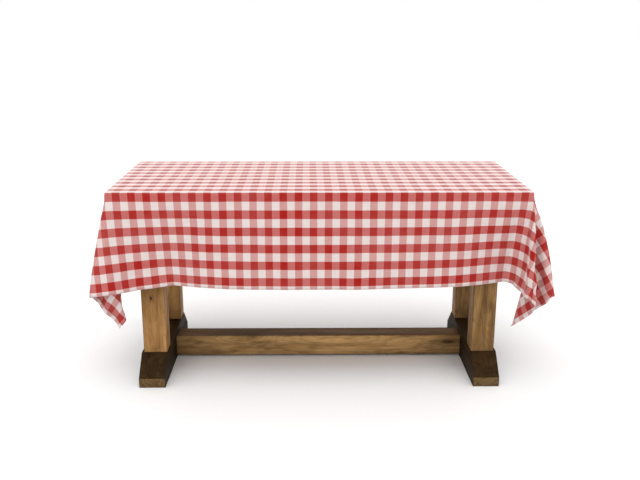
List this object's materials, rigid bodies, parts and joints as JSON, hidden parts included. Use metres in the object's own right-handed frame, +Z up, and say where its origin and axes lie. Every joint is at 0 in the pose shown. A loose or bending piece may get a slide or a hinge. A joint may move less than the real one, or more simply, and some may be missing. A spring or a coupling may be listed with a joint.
{
  "type": "tablecloth on a table",
  "caption": "Rectangular check tablecloth draped over a trestle table, with folded hanging corners and a low stretcher between two sloped feet.",
  "frame": {"origin": "on the floor, under the middle of the table", "axes": "+X along the table to its right end, +Y to the rear, +Z up"},
  "size_m": [1.7286, 0.8722, 0.762],
  "materials": {
    "cloth": "woven check in deep red, pink and white, matt",
    "top_wood": "planed, satin",
    "bearer_wood": "sawn and stained, matt",
    "post_wood": "honey brown stain, satin",
    "foot_wood": "dark stain, satin",
    "stretcher_wood": "honey brown stain, satin",
    "peg_wood": "dark end grain",
    "steel": "zinc plated"
  },
  "bodies": {
    "table": {"top_board_1": "top_wood", "top_board_2": "top_wood", "top_board_3": "top_wood", "top_board_4": "top_wood", "top_board_5": "top_wood", "middle_batten": "bearer_wood", "stretcher": "stretcher_wood", "end_board_left": "top_wood", "foot_left": "foot_wood", "bearer_left": "bearer_wood", "end_peg_left_1": "peg_wood", "end_peg_left_2": "peg_wood", "end_peg_left_3": "peg_wood", "post_front_left": "post_wood", "foot_bolt_front_left": "steel", "foot_washer_front_left": "steel", "bearer_bolt_front_left": "steel", "bearer_washer_front_left": "steel", "post_rear_left": "post_wood", "foot_bolt_rear_left": "steel", "foot_washer_rear_left": "steel", "bearer_bolt_rear_left": "steel", "bearer_washer_rear_left": "steel", "stretcher_bolt_left": "steel", "stretcher_washer_left": "steel", "bearer_screw_left_1": "steel", "bearer_screw_left_2": "steel", "bearer_screw_left_3": "steel", "bearer_screw_left_4": "steel", "bearer_screw_left_5": "steel", "end_board_right": "top_wood", "foot_right": "foot_wood", "bearer_right": "bearer_wood", "end_peg_right_1": "peg_wood", "end_peg_right_2": "peg_wood", "end_peg_right_3": "peg_wood", "post_front_right": "post_wood", "foot_bolt_front_right": "steel", "foot_washer_front_right": "steel", "bearer_bolt_front_right": "steel", "bearer_washer_front_right": "steel", "post_rear_right": "post_wood", "foot_bolt_rear_right": "steel", "foot_washer_rear_right": "steel", "bearer_bolt_rear_right": "steel", "bearer_washer_rear_right": "steel", "stretcher_bolt_right": "steel", "stretcher_washer_right": "steel", "bearer_screw_right_1": "steel", "bearer_screw_right_2": "steel", "bearer_screw_right_3": "steel", "bearer_screw_right_4": "steel", "bearer_screw_right_5": "steel", "batten_screw_1": "steel", "batten_screw_2": "steel", "batten_screw_3": "steel", "batten_screw_4": "steel", "batten_screw_5": "steel"},
    "cloth": {"tablecloth": "cloth"}
  },
  "joints": [
    {"name": "cloth_lift", "type": "slide", "parent": "table", "child": "cloth", "axis": [0, 0, 1], "range_m": [0, 0.55]}
  ]
}
